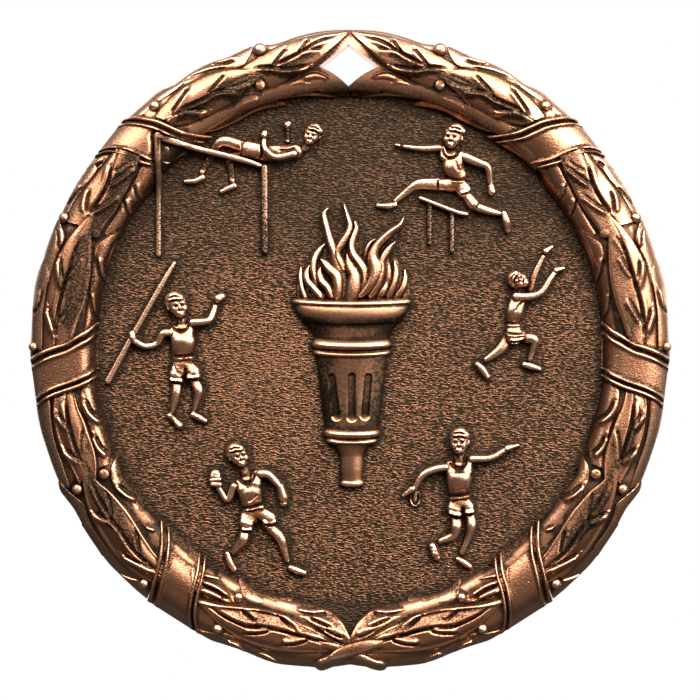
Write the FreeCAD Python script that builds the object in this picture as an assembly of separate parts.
"""Sports finisher medal: a 2 inch relief medal with a laurel wreath border, a torch and six athletes.

The medal hangs upright from a diamond-shaped ribbon hole. Its face looks along -Y and +Z is up.
The origin is the centre of the flat engraving face on the back, so the back of the plate is the plane Y = 0.

Every piece is drawn lying flat, as on the pattern maker's bench: u runs right, v runs up the medal
and h is the height above the back of the plate. `save` stands the finished piece upright.
All sizes are millimetres.
"""

import FreeCAD
import Part
import math
import os

Vector = FreeCAD.Vector
FLAT_TO_UPRIGHT = FreeCAD.Placement(Vector(0, 0, 0), FreeCAD.Rotation(Vector(1, 0, 0), 90))

# Driving dimensions of the blank
FIELD_R = 20.0            # radius of the flat field inside the wreath
FIELD_H = 1.6             # thickness of the plate under the field
BACK_RIM_PROUD = 0.3      # the wreath's back stands this far behind the engraving face
EDGE_H = 1.15             # height of the wreath's outer edge
CREST_R = 22.55           # radius of the wreath's crest line
CREST_H = 3.0             # height of the wreath core at its crest
OUTER_R = 25.6            # the roll reaches this radius before it is trimmed to the outline
LEAF_T = 0.32             # thickness of a laurel leaf on the core
BAND_T = 0.42             # thickness of a ribbon band on the core
CORD_T = 0.62             # thickness of the raised cords along a band's borders
CORD_W = 0.5              # width of those cords
SLIVER = 0.02             # pieces of face smaller than this area are dropped
CRUMB = 0.03              # and solids smaller than this volume
CLEAR = 5.0               # further above or below the bench than any piece reaches
BERRY_SINK = 0.2          # a berry's centre lies this far under the crest
BERRY_FALL = 0.12         # and falls off this fast away from the crest line
LIMB_CROWN = 1.3          # radius of a limb's rounded top for each millimetre of its half width
LIMB_CROWN_MIN = 0.35
FRONT_FLAMES = 5          # that many tongues stand in front

TORCH_U = 0.2             # the torch's own centre line

# Corners of the ribbon hole, clockwise from the top
RIBBON_HOLE = [(-0.1, 24.05), (2.3, 22.3), (-0.1, 20.75), (-2.5, 22.3)]

# The left half of the wavy outline, from the top round to the bottom; the right half mirrors it
OUTLINE_LEFT = [
    (0.0, 25.35), (-3.5, 24.95), (-6.6, 24.1), (-8.6, 23.65), (-11.3, 22.55), (-13.6, 21.1),
    (-17.5, 18.2), (-20.1, 15.2), (-22.4, 11.3), (-23.2, 9.7), (-24.5, 6.3), (-25.1, 3.0),
    (-25.3, 0.0), (-25.0, -3.2), (-24.2, -7.4), (-23.0, -10.6), (-20.9, -14.2), (-18.2, -17.8),
    (-15.6, -19.95), (-12.2, -22.2), (-8.0, -23.95), (-4.6, -24.9),
]
BOTTOM_V = -24.8

# Laurel leaves of the left branch, section by section from the top: row, base, midpoint of the midrib, tip,
# half width on the outer side, half width on the inner side. Later rows are tucked under earlier ones.
LEAVES = {
    1: [
        ("crown", (-14.6, 18.0), (-10.7, 20.25), (-6.3, 21.95), 1.75, 1.6),
        ("crown", (-8.3, 21.3), (-4.2, 23.1), (-0.25, 25.05), 1.25, 1.35),
        ("side", (-13.0, 17.5), (-9.2, 18.8), (-5.05, 19.45), 1.0, 0.95),
        ("side", (-7.8, 19.9), (-4.0, 20.95), (-0.1, 20.2), 0.9, 0.75),
        ("side", (-13.7, 20.9), (-10.9, 22.2), (-7.7, 23.4), 0.5, 0.6),
        ("side", (-17.0, 18.4), (-14.9, 20.0), (-12.7, 21.1), 0.5, 0.6),
    ],
    2: [
        ("crown", (-23.2, 0.9), (-22.3, 5.4), (-20.4, 10.4), 1.4, 1.45),
        ("crown", (-20.6, 10.0), (-19.15, 12.4), (-16.6, 15.6), 1.4, 1.6),
        ("side", (-20.7, 1.8), (-19.75, 5.5), (-17.85, 9.35), 0.9, 0.7),
        ("side", (-18.9, 8.9), (-17.3, 11.7), (-15.1, 14.6), 0.9, 0.75),
        ("side", (-24.6, 5.2), (-23.75, 7.6), (-23.0, 10.0), 0.3, 0.9),
        ("side", (-25.0, 0.6), (-24.6, 3.8), (-24.0, 7.2), 0.3, 0.7),
        ("side", (-22.7, 9.6), (-21.9, 11.8), (-20.6, 13.9), 0.4, 0.6),
        ("side", (-21.3, 12.6), (-20.3, 14.1), (-18.9, 15.6), 0.4, 0.5),
    ],
    3: [
        ("crown", (-14.9, -17.4), (-18.7, -13.6), (-20.85, -8.9), 1.6, 1.5),
        ("crown", (-20.9, -9.6), (-21.85, -6.4), (-22.4, -2.8), 1.3, 1.5),
        ("side", (-14.9, -15.0), (-17.1, -11.9), (-18.35, -8.35), 0.75, 0.75),
        ("side", (-18.8, -9.0), (-19.8, -5.9), (-20.6, -2.6), 0.75, 0.8),
        ("side", (-20.0, -15.4), (-21.4, -12.7), (-22.95, -10.4), 0.3, 0.7),
        ("side", (-22.8, -10.2), (-23.8, -7.3), (-24.4, -4.2), 0.3, 0.6),
        ("side", (-16.3, -19.0), (-18.9, -16.4), (-21.3, -13.0), 0.4, 0.45),
    ],
    4: [
        ("crown", (-0.6, -23.4), (-6.6, -22.0), (-12.6, -19.9), 1.4, 1.5),
        ("side", (0.0, -23.2), (-2.6, -21.4), (-6.6, -20.0), 0.8, 0.9),
        ("side", (-8.4, -19.9), (-10.2, -18.6), (-12.4, -17.3), 0.8, 0.65),
        ("side", (-4.9, -20.0), (-7.0, -19.75), (-8.7, -18.25), 0.35, 0.35),
        ("side", (-6.2, -24.2), (-8.1, -23.5), (-9.8, -22.7), 0.35, 0.35),
        ("side", (-8.9, -22.9), (-10.4, -22.4), (-12.2, -21.4), 0.4, 0.4),
        ("side", (-1.6, -24.3), (-4.8, -24.3), (-8.0, -23.3), 0.45, 0.45),
    ],
}

# Laurel berries of the left branch: u, v, radius
BERRIES = [
    (-7.15, 23.6, 0.55), (-7.0, 20.8, 0.42), (-15.35, 19.1, 0.4), (-22.4, 10.3, 0.42), (-19.85, 9.1, 0.42),
    (-24.75, 0.3, 0.36), (-21.4, -10.9, 0.44), (-19.3, -9.75, 0.42), (-16.1, -18.4, 0.42),
    (-8.75, -19.4, 0.38), (-10.4, -21.95, 0.42),
]

# Ribbon bands of the left branch: the two borders, each from the field side to the outer edge
BANDS = {
    "upper": ([(-10.8, 16.9), (-13.6, 17.25), (-17.6, 18.25)], [(-14.1, 14.1), (-16.6, 14.85), (-20.2, 15.3)]),
    "middle": ([(-19.8, 2.2), (-22.6, 0.6), (-25.4, -0.7)], [(-19.8, -2.2), (-22.2, -3.4), (-25.2, -4.7)]),
    "lower": ([(-14.85, -13.5), (-14.8, -16.2), (-15.8, -20.1)], [(-11.5, -16.5), (-11.85, -19.1), (-12.1, -22.4)]),
}

# Stems that cross at the bottom: centre line and width; the right branch's stem lies on top
STEM_W = 1.25
STEM_OVER = [(1.5, -23.3), (-0.3, -23.95), (-2.0, -24.75)]
STEM_UNDER = [(-1.3, -23.55), (0.9, -24.2), (2.45, -24.75)]

# Tiers of the torch: name, (v, half width) pairs from the bottom up, height above the field, crown radius
TORCH = [
    ("torch_handle", [(-10.6, 0.95), (-8.3, 1.05)], 0.75, 1.4),
    ("torch_socket", [(-8.3, 1.05), (-7.3, 1.75)], 0.95, 2.4),
    ("torch_lower_ring", [(-7.3, 1.9), (-7.0, 2.25), (-6.5, 2.25), (-6.2, 2.0)], 1.3, 3.2),
    ("torch_barrel", [(-6.2, 2.15), (-0.45, 3.0)], 1.05, 3.6),
    ("torch_collar", [(-0.45, 2.9), (0.0, 3.2), (0.6, 3.2), (0.95, 2.95)], 1.45, 5.0),
    ("torch_neck", [(0.95, 3.0), (2.2, 3.6)], 1.15, 5.2),
    ("torch_bowl", [(2.2, 3.7), (3.0, 4.35), (3.55, 4.65)], 1.45, 7.5),
    ("torch_rim", [(3.55, 4.75), (4.0, 4.75)], 1.65, 9.0),
]
FLUTES_U = (-1.3, 0.0, 1.3)     # slots in the barrel, from its centre line
FLUTE_V = (-5.2, -2.1)
FLUTE_R = 0.25
FLUTE_FLOOR = 0.45              # height of a slot's floor above the field

# Flame tongues, front ones first: (u, v, half width) from the bowl to the tip, height above the field
FLAMES = [
    ([(1.3, 4.0, 0.4), (1.95, 6.2, 0.6), (2.2, 8.2, 0.35), (4.3, 10.4, 0.08)], 1.35),
    ([(0.3, 4.0, 0.5), (0.45, 5.8, 0.5), (-0.2, 7.5, 0.1)], 1.4),
    ([(-1.0, 4.0, 0.4), (-1.3, 5.8, 0.5), (-2.15, 7.3, 0.15)], 1.3),
    ([(1.2, 5.2, 0.3), (0.5, 7.3, 0.3), (0.35, 9.4, 0.22), (-0.45, 11.5, 0.06)], 1.2),
    ([(-2.0, 4.0, 0.35), (-2.45, 5.6, 0.3), (-2.3, 6.6, 0.08)], 1.15),
    ([(-0.9, 6.5, 0.35), (-1.6, 8.8, 0.25), (-1.7, 11.0, 0.06)], 1.1),
    ([(-0.9, 7.6, 0.3), (-0.3, 8.6, 0.25), (0.0, 9.5, 0.1)], 1.0),
    ([(-2.9, 4.0, 0.35), (-3.25, 5.5, 0.3), (-3.15, 6.7, 0.08)], 1.0),
    ([(-3.0, 5.6, 0.25), (-2.7, 7.3, 0.25), (-1.9, 8.4, 0.08)], 0.9),
    ([(2.5, 5.6, 0.3), (2.75, 7.3, 0.3), (3.6, 8.5, 0.08)], 1.1),
    ([(-3.8, 4.0, 0.25), (-3.9, 5.4, 0.2), (-3.8, 6.6, 0.06)], 0.8),
    ([(3.2, 4.0, 0.3), (3.65, 5.6, 0.25), (3.5, 7.1, 0.08)], 0.85),
    ([(4.2, 4.0, 0.25), (4.5, 5.2, 0.2), (4.3, 6.2, 0.06)], 0.7),
]

# Athletes. Each piece is a round-ended bar between two points: u, v, radius, u, v, radius, height above the field.
# Pieces that lie on top come first.
ATHLETES = {
    "high_jumper": [
        (-3.15, 16.85, 0.8, -2.8, 17.25, 0.8, 1.15),
        (-4.5, 15.5, 0.33, -5.95, 15.25, 0.28, 1.3),
        (-5.95, 15.25, 0.28, -6.8, 16.6, 0.22, 1.2),
        (-6.8, 16.6, 0.22, -6.75, 17.05, 0.24, 1.1),
        (-4.3, 15.6, 0.25, -5.4, 16.05, 0.22, 1.1),
        (-5.05, 16.1, 0.2, -5.0, 17.7, 0.24, 0.6),
        (-3.9, 15.9, 0.65, -7.2, 15.5, 0.6, 0.95),
        (-7.3, 15.6, 0.62, -8.3, 15.85, 0.58, 1.0),
        (-8.3, 16.05, 0.42, -10.1, 16.5, 0.36, 0.9),
        (-10.1, 16.3, 0.34, -11.7, 14.0, 0.24, 0.4),
        (-11.6, 13.55, 0.24, -13.0, 13.3, 0.16, 0.6),
        (-8.6, 15.3, 0.34, -9.5, 14.9, 0.3, 0.4),
        (-9.5, 14.9, 0.3, -9.25, 13.3, 0.22, 0.38),
        (-9.15, 13.0, 0.2, -10.1, 12.5, 0.14, 0.5),
    ],
    "hurdler": [
        (8.1, 16.75, 0.66, 8.35, 17.1, 0.7, 1.15),
        (7.3, 15.95, 0.2, 5.6, 15.95, 0.18, 0.7),
        (5.6, 15.95, 0.18, 3.95, 16.15, 0.12, 0.6),
        (9.1, 15.3, 0.32, 11.0, 14.6, 0.27, 0.95),
        (11.0, 14.6, 0.26, 11.25, 13.0, 0.2, 0.8),
        (11.25, 12.9, 0.24, 11.15, 12.45, 0.28, 0.7),
        (8.0, 15.1, 0.85, 8.7, 13.7, 0.62, 1.0),
        (8.0, 13.05, 0.5, 5.0, 13.1, 0.38, 1.05),
        (4.95, 13.1, 0.33, 3.7, 11.75, 0.2, 0.8),
        (3.7, 11.35, 0.17, 2.2, 11.4, 0.13, 0.65),
        (8.8, 13.1, 0.6, 9.5, 12.1, 0.5, 1.0),
        (9.5, 12.0, 0.42, 9.8, 11.35, 0.48, 1.1),
        (9.9, 11.25, 0.34, 11.9, 10.85, 0.22, 0.8),
        (12.2, 10.8, 0.24, 12.5, 9.5, 0.3, 0.75),
    ],
    "long_jumper": [
        (13.1, 5.6, 0.66, 13.5, 5.55, 0.64, 1.1),
        (13.8, 4.3, 0.3, 15.1, 4.55, 0.25, 1.1),
        (15.1, 4.55, 0.24, 16.3, 6.25, 0.18, 1.0),
        (16.3, 6.25, 0.19, 16.8, 6.5, 0.15, 0.9),
        (14.4, 5.4, 0.24, 15.3, 7.5, 0.2, 0.55),
        (15.4, 7.65, 0.22, 15.95, 8.1, 0.15, 0.75),
        (13.3, 4.0, 0.62, 12.95, 2.5, 0.55, 0.95),
        (12.85, 1.75, 0.62, 13.3, 1.25, 0.55, 1.0),
        (13.5, 1.1, 0.4, 14.65, 0.95, 0.36, 0.95),
        (14.65, 0.85, 0.34, 14.15, -0.8, 0.22, 0.75),
        (13.8, -1.15, 0.2, 14.85, -1.45, 0.18, 0.7),
        (12.6, 0.9, 0.44, 11.9, 0.3, 0.38, 0.8),
        (12.1, 0.2, 0.36, 10.7, -0.75, 0.22, 0.7),
        (10.15, -1.15, 0.22, 10.9, -2.2, 0.22, 0.65),
    ],
    "javelin_thrower": [
        (-13.6, 3.35, 0.8, -13.75, 3.75, 0.82, 1.15),
        (-12.4, 2.15, 0.3, -11.0, 2.5, 0.24, 1.0),
        (-11.0, 2.5, 0.22, -10.6, 3.6, 0.18, 0.9),
        (-10.5, 3.95, 0.24, -10.2, 4.3, 0.2, 0.85),
        (-14.2, 1.5, 0.3, -15.2, 0.6, 0.25, 0.9),
        (-15.3, 0.4, 0.24, -16.9, 0.35, 0.2, 0.85),
        (-17.0, 0.6, 0.25, -17.3, 1.15, 0.27, 1.1),
        (-13.2, 1.2, 0.9, -13.15, -0.3, 0.75, 1.05),
        (-13.1, -0.9, 0.78, -13.15, -1.2, 0.85, 0.95),
        (-13.7, -1.6, 0.52, -13.7, -2.1, 0.52, 1.05),
        (-12.5, -1.5, 0.5, -12.3, -1.9, 0.5, 1.05),
        (-13.75, -2.6, 0.36, -13.7, -3.4, 0.33, 0.85),
        (-13.7, -3.5, 0.32, -14.05, -4.85, 0.2, 0.75),
        (-14.2, -5.3, 0.22, -13.5, -5.9, 0.26, 0.75),
        (-12.1, -2.5, 0.36, -11.85, -3.4, 0.33, 0.9),
        (-11.85, -3.5, 0.3, -12.3, -4.75, 0.2, 0.75),
        (-12.3, -5.1, 0.2, -11.45, -5.5, 0.2, 0.75),
    ],
    "shot_putter": [
        (-8.95, -8.15, 0.78, -8.7, -8.4, 0.74, 1.15),
        (-7.2, -9.8, 0.3, -5.75, -10.65, 0.26, 1.05),
        (-5.65, -10.75, 0.28, -5.2, -11.9, 0.3, 1.1),
        (-9.3, -10.7, 0.28, -9.85, -11.8, 0.26, 0.9),
        (-9.9, -11.7, 0.24, -10.4, -10.7, 0.24, 0.85),
        (-8.0, -10.4, 0.95, -7.7, -11.7, 0.75, 1.05),
        (-7.6, -12.7, 0.6, -7.3, -12.9, 0.6, 0.95),
        (-8.35, -13.2, 0.52, -8.2, -13.8, 0.52, 1.1),
        (-6.8, -13.1, 0.45, -6.3, -13.5, 0.45, 1.05),
        (-8.4, -14.4, 0.38, -8.4, -15.1, 0.36, 0.85),
        (-8.5, -15.2, 0.32, -9.2, -16.0, 0.22, 0.6),
        (-9.7, -16.2, 0.22, -9.15, -17.2, 0.24, 0.65),
        (-6.1, -14.1, 0.36, -5.2, -15.4, 0.32, 0.95),
        (-5.2, -15.4, 0.3, -4.95, -16.6, 0.2, 0.75),
        (-4.7, -17.15, 0.22, -3.65, -17.6, 0.2, 0.75),
    ],
    "discus_thrower": [
        (8.65, -7.0, 0.74, 8.65, -7.4, 0.72, 1.15),
        (9.6, -8.65, 0.25, 11.2, -8.5, 0.22, 1.0),
        (11.2, -8.45, 0.2, 12.4, -7.75, 0.16, 0.9),
        (12.4, -7.7, 0.17, 13.2, -7.55, 0.12, 0.8),
        (7.5, -9.25, 0.28, 5.7, -9.9, 0.24, 0.95),
        (5.65, -9.95, 0.22, 4.95, -11.0, 0.18, 0.85),
        (4.9, -11.05, 0.2, 4.35, -11.45, 0.14, 0.75),
        (8.6, -9.6, 0.92, 8.65, -11.0, 0.75, 1.05),
        (8.65, -11.9, 0.75, 8.6, -12.1, 0.78, 0.95),
        (8.2, -12.5, 0.5, 8.3, -12.7, 0.48, 1.05),
        (9.3, -12.4, 0.42, 9.35, -12.6, 0.4, 1.0),
        (8.4, -13.5, 0.36, 8.45, -14.2, 0.36, 0.9),
        (8.4, -14.5, 0.32, 7.1, -15.15, 0.22, 0.75),
        (6.5, -15.5, 0.24, 6.8, -16.3, 0.26, 0.75),
        (9.35, -13.5, 0.34, 9.5, -14.2, 0.33, 0.9),
        (9.45, -14.4, 0.3, 8.85, -16.1, 0.18, 0.7),
        (8.7, -16.55, 0.17, 9.4, -17.05, 0.16, 0.7),
    ],
}

# Equipment, given as the athletes are; every entry is one node
EQUIPMENT = {
    "high_jump_left_post": [(-15.1, 16.75, 0.19, -15.1, 7.6, 0.19, 0.6)],
    "high_jump_right_post": [(-6.7, 14.3, 0.19, -6.7, 7.9, 0.19, 0.55)],
    "high_jump_crossbar": [(-14.95, 16.55, 0.2, -7.1, 14.5, 0.2, 1.0)],
    "hurdle_top_rail": [(5.3, 12.05, 0.17, 9.25, 10.75, 0.17, 0.75)],
    "hurdle_left_leg": [(6.25, 11.45, 0.17, 6.25, 8.5, 0.17, 0.35)],
    "hurdle_right_leg": [(8.05, 10.85, 0.19, 8.05, 7.8, 0.19, 0.5)],
    "javelin": [(-19.15, -2.5, 0.24, -13.85, 6.9, 0.14, 0.8)],
    "shot": [(-10.6, -9.95, 0.5, -10.59, -9.95, 0.5, 1.05)],
    "discus": [(5.12, -11.8, 0.42, 5.12, -11.95, 0.42, 0.85)],
}
# Which athlete's outline each piece of equipment passes over or under
EQUIPMENT_OVER = {"high_jump_crossbar": "high_jumper"}
EQUIPMENT_UNDER = {
    "high_jump_right_post": "high_jumper",
    "hurdle_top_rail": "hurdler",
    "javelin": "javelin_thrower",
    "shot": "shot_putter",
    "discus": "discus_thrower",
}


def save(name, solids):
    """Stand a list of flat solids upright and write them as one node."""
    solids = [s for s in solids if s.Volume > CRUMB]
    for s in solids:
        if not s.isValid():
            print("not valid:", name)
    shape = solids[0].copy() if len(solids) == 1 else Part.makeCompound(solids)
    shape.Placement = FLAT_TO_UPRIGHT.multiply(shape.Placement)
    shape.exportStep("parts/" + name + ".step")


def flat(point, h=0.0):
    return Vector(point[0], point[1], h)


def mirrored(value):
    """The same points on the right branch."""
    if isinstance(value, tuple) and len(value) >= 2 and not isinstance(value[0], (tuple, list, str)):
        return (-value[0],) + tuple(value[1:])
    return type(value)(mirrored(v) if isinstance(v, (tuple, list)) else v for v in value)


def closed_face(edges):
    return Part.Face(Part.Wire(Part.__sortEdges__(edges)))


def line(a, b):
    return Part.LineSegment(flat(a), flat(b)).toShape()


def arc(a, b, c):
    return Part.Arc(flat(a), flat(b), flat(c)).toShape()


def spline(points):
    curve = Part.BSplineCurve()
    curve.interpolate([flat(p) for p in points])
    return curve.toShape()


def pieces_of(face, holes):
    """A face with other faces cut out of it, as a list of faces without slivers."""
    for hole in holes:
        face = face.cut(hole)
    return [f for f in face.Faces if f.Area > SLIVER]


def prism(face, low, high):
    lifted = face.copy()
    lifted.translate(Vector(0, 0, low))
    return lifted.extrude(Vector(0, 0, high - low))


def direction(a, b):
    length = math.hypot(b[0] - a[0], b[1] - a[1])
    return ((b[0] - a[0]) / length, (b[1] - a[1]) / length)


# The wreath

def roll(thickness, bottom):
    """A solid ring whose rounded top is the wreath core's surface lifted by thickness."""
    top_in = Vector(FIELD_R, 0, FIELD_H + thickness)
    crest = Vector(CREST_R, 0, CREST_H + thickness)
    top_out = Vector(OUTER_R, 0, EDGE_H + thickness)
    low_in = Vector(FIELD_R, 0, bottom)
    low_out = Vector(OUTER_R, 0, bottom)
    edges = [
        Part.Arc(top_in, crest, top_out).toShape(),
        Part.LineSegment(top_out, low_out).toShape(),
        Part.LineSegment(low_out, low_in).toShape(),
        Part.LineSegment(low_in, top_in).toShape(),
    ]
    return Part.Face(Part.Wire(edges)).revolve(Vector(0, 0, 0), Vector(0, 0, 1), 360)


def shell(thickness, core):
    """What lies on the wreath core up to that thickness."""
    return roll(thickness, -BACK_RIM_PROUD).cut(core)


def outline_face():
    right = [mirrored(p) for p in reversed(OUTLINE_LEFT[1:])]
    left_edge = spline(OUTLINE_LEFT)
    right_edge = spline(right + [OUTLINE_LEFT[0]])
    dip = arc(OUTLINE_LEFT[-1], (0.0, BOTTOM_V), right[0])
    return closed_face([left_edge, dip, right_edge])


def leaf_face(leaf):
    """A pointed leaf between two arcs."""
    _, base, mid, tip, outer, inner = leaf
    du, dv = direction(base, tip)
    if base[0] + tip[0] > 0:
        du, dv = -du, -dv
    outer_edge = (mid[0] - dv * outer, mid[1] + du * outer)
    inner_edge = (mid[0] + dv * inner, mid[1] - du * inner)
    return closed_face([arc(base, outer_edge, tip), arc(tip, inner_edge, base)])


def disc_face(u, v, r):
    return Part.Face(Part.Wire(Part.Circle(flat((u, v)), Vector(0, 0, 1), r).toShape()))


def band_face(borders):
    """The ribbon between its two borders."""
    first, second = borders
    return closed_face([
        arc(*first),
        line(first[2], second[2]),
        arc(*second),
        line(second[0], first[0]),
    ])


def cord_face(border, inward):
    """A strip along a band's border, on the side of the given point."""
    du, dv = direction(border[0], border[2])
    side = (inward[0] - border[1][0]) * -dv + (inward[1] - border[1][1]) * du
    shift = math.copysign(CORD_W, side)
    moved = [(p[0] - dv * shift, p[1] + du * shift) for p in border]
    return closed_face([arc(*border), line(border[2], moved[2]), arc(*moved), line(moved[0], border[0])])


def bar_face(u0, v0, r0, u1, v1, r1):
    """A bar with round ends of two radii."""
    along = direction((u0, v0), (u1, v1))
    apart = math.hypot(u1 - u0, v1 - v0)
    if apart <= abs(r0 - r1) + 0.02:
        return disc_face((u0 + u1) / 2, (v0 + v1) / 2, max(r0, r1))
    heading = math.atan2(along[1], along[0])
    swing = math.acos((r0 - r1) / apart)

    def at(u, v, r, turn):
        return (u + r * math.cos(heading + turn), v + r * math.sin(heading + turn))

    left0, right0 = at(u0, v0, r0, swing), at(u0, v0, r0, -swing)
    left1, right1 = at(u1, v1, r1, swing), at(u1, v1, r1, -swing)
    return closed_face([
        arc(left0, at(u0, v0, r0, math.pi), right0),
        line(right0, right1),
        arc(right1, at(u1, v1, r1, 0), left1),
        line(left1, left0),
    ])


def stem_face(centre_line):
    """A stem of constant width along an arc, with a rounded cut end."""
    du, dv = direction(centre_line[0], centre_line[2])
    half = STEM_W / 2
    one = [(p[0] - dv * half, p[1] + du * half) for p in centre_line]
    two = [(p[0] + dv * half, p[1] - du * half) for p in centre_line]
    end = (centre_line[2][0] + du * half, centre_line[2][1] + dv * half)
    return closed_face([arc(*one), arc(one[2], end, two[2]), arc(*two), line(two[0], one[0])])


def build_wreath():
    hole = Part.Face(Part.makePolygon([flat(p) for p in RIBBON_HOLE + RIBBON_HOLE[:1]]))
    solid_ring = roll(0.0, -BACK_RIM_PROUD)
    leaf_shell = shell(LEAF_T, solid_ring)
    band_shell = shell(BAND_T, solid_ring)
    cord_shell = shell(CORD_T, solid_ring)
    whole = prism(outline_face().cut(hole), -CLEAR, CLEAR)
    core = solid_ring.common(whole)
    half_box = Part.makeBox(2 * OUTER_R, 4 * OUTER_R, 4 * CLEAR, Vector(0, -2 * OUTER_R, -2 * CLEAR))
    save("wreath_core_right", core.common(half_box).Solids)
    save("wreath_core_left", core.cut(half_box).Solids)

    stem_over, stem_under = stem_face(STEM_OVER), stem_face(STEM_UNDER)
    save("right_stem", [cord_shell.common(prism(stem_over, 0, CLEAR))])
    save("left_stem", [leaf_shell.common(prism(f, 0, CLEAR)) for f in pieces_of(stem_under, [stem_over])])

    for side in ("left", "right"):
        place = mirrored if side == "right" else (lambda value: value)
        berries = [place(b) for b in BERRIES]
        berry_faces = [disc_face(*b) for b in berries]
        band_faces = []
        for name, borders in BANDS.items():
            first, second = place(borders[0]), place(borders[1])
            ribbon = band_face((first, second))
            cords = [cord_face(first, second[1]), cord_face(second, first[1])]
            band_faces.append(ribbon)
            solids = [cord_shell.common(whole).common(prism(c, 0, CLEAR)) for c in cords]
            for f in pieces_of(ribbon, cords):
                solids += band_shell.common(whole).common(prism(f, 0, CLEAR)).Solids
            save(side + "_" + name + "_band", solids)
        for section, leaves in LEAVES.items():
            in_the_way = band_faces + berry_faces + [hole, stem_over, stem_under]
            rows = {"crown": [], "side": []}
            for leaf in leaves:
                leaf = (leaf[0],) + tuple(place(x) if isinstance(x, tuple) else x for x in leaf[1:])
                face = leaf_face(leaf)
                for f in pieces_of(face, in_the_way):
                    rows[leaf[0]] += leaf_shell.common(whole).common(prism(f, 0, CLEAR)).Solids
                in_the_way.append(face)
            for row, solids in rows.items():
                save(f"{side}_{row}_leaves_{section}", solids)
        balls = []
        for u, v, r in berries:
            centre_h = CREST_H - BERRY_SINK - BERRY_FALL * (math.hypot(u, v) - CREST_R) ** 2
            ball = Part.makeSphere(r, Vector(u, v, centre_h))
            post = Part.makeCylinder(r, centre_h - FIELD_H, Vector(u, v, FIELD_H))
            balls += ball.fuse(post).removeSplitter().cut(solid_ring).Solids
        save(side + "_berries", [b for b in balls if b.CenterOfMass.z > FIELD_H])


# The plate

def build_plate():
    save("field_plate", [Part.makeCylinder(FIELD_R, FIELD_H)])


# The torch and the athletes

def domed(face, a, b, top, crown):
    """A face raised from the field to a rounded top whose ridge runs from a to b."""
    du, dv = direction(a, b)
    start = Vector(a[0] - OUTER_R * du, a[1] - OUTER_R * dv, FIELD_H + top - crown)
    length = 2 * OUTER_R + math.hypot(b[0] - a[0], b[1] - a[1])
    ridge = Part.makeCylinder(crown, length, start, Vector(du, dv, 0))
    return prism(face, FIELD_H, FIELD_H + CLEAR).common(ridge).Solids


def tier_face(pairs):
    """A torch tier from its (v, half width) pairs."""
    right = [(TORCH_U + w, v) for v, w in pairs]
    left = [(TORCH_U - w, v) for v, w in reversed(pairs)]
    corners = right + left
    return closed_face([line(corners[i], corners[(i + 1) % len(corners)]) for i in range(len(corners))])


def build_torch():
    bottom, top = (TORCH_U, -10.6), (TORCH_U, 4.0)
    for name, pairs, height, crown in TORCH:
        solids = domed(tier_face(pairs), bottom, top, height, crown)
        if name == "torch_barrel":
            for du in FLUTES_U:
                slot = bar_face(TORCH_U + du * 0.85, FLUTE_V[0], FLUTE_R, TORCH_U + du, FLUTE_V[1], FLUTE_R)
                solids = [s.cut(prism(slot, FIELD_H + FLUTE_FLOOR, FIELD_H + CLEAR)) for s in solids]
        save(name, solids)


def flame_face(stations):
    """A tongue of flame from its centre line and half widths."""
    left, right = [], []
    for i, (u, v, w) in enumerate(stations):
        before, after = stations[max(i - 1, 0)], stations[min(i + 1, len(stations) - 1)]
        du, dv = direction(before, after)
        left.append((u - dv * w, v + du * w))
        right.append((u + dv * w, v - du * w))
    return closed_face([spline(left), line(left[-1], right[-1]), spline(right), line(right[0], left[0])])


def build_flames():
    in_front = []
    groups = {"flame_front_tongues": [], "flame_back_tongues": []}
    for number, (stations, height) in enumerate(FLAMES):
        face = flame_face(stations)
        name = "flame_front_tongues" if number < FRONT_FLAMES else "flame_back_tongues"
        for f in pieces_of(face, in_front):
            groups[name].append(prism(f, FIELD_H, FIELD_H + height))
        in_front.append(face)
    for name, solids in groups.items():
        save(name, solids)


def bars(pieces, in_front):
    """Round-topped bars on the field, each trimmed by the ones before it. Returns the solids and the faces."""
    solids, faces = [], []
    for u0, v0, r0, u1, v1, r1, height in pieces:
        face = bar_face(u0, v0, r0, u1, v1, r1)
        crown = max(LIMB_CROWN * max(r0, r1), LIMB_CROWN_MIN)
        for f in pieces_of(face, in_front + faces):
            solids += domed(f, (u0, v0), (u1, v1), height, crown)
        faces.append(face)
    return solids, faces


def build_figures():
    over = {}
    for name, athlete in EQUIPMENT_OVER.items():
        solids, faces = bars(EQUIPMENT[name], [])
        over[athlete] = faces
        save(name, solids)
    outlines = {}
    for name, pieces in ATHLETES.items():
        solids, faces = bars(pieces, over.get(name, []))
        outlines[name] = faces
        save(name, solids)
    for name, pieces in EQUIPMENT.items():
        if name in EQUIPMENT_OVER:
            continue
        in_front = list(outlines.get(EQUIPMENT_UNDER.get(name), []))
        if name.startswith("high_jump"):
            in_front += over["high_jumper"]
        if name in ("hurdle_left_leg", "hurdle_right_leg"):
            in_front += [bar_face(*EQUIPMENT["hurdle_top_rail"][0][:6])]
        solids, _ = bars(pieces, in_front)
        save(name, solids)


os.makedirs("parts", exist_ok=True)
build_plate()
build_wreath()
build_torch()
build_flames()
build_figures()
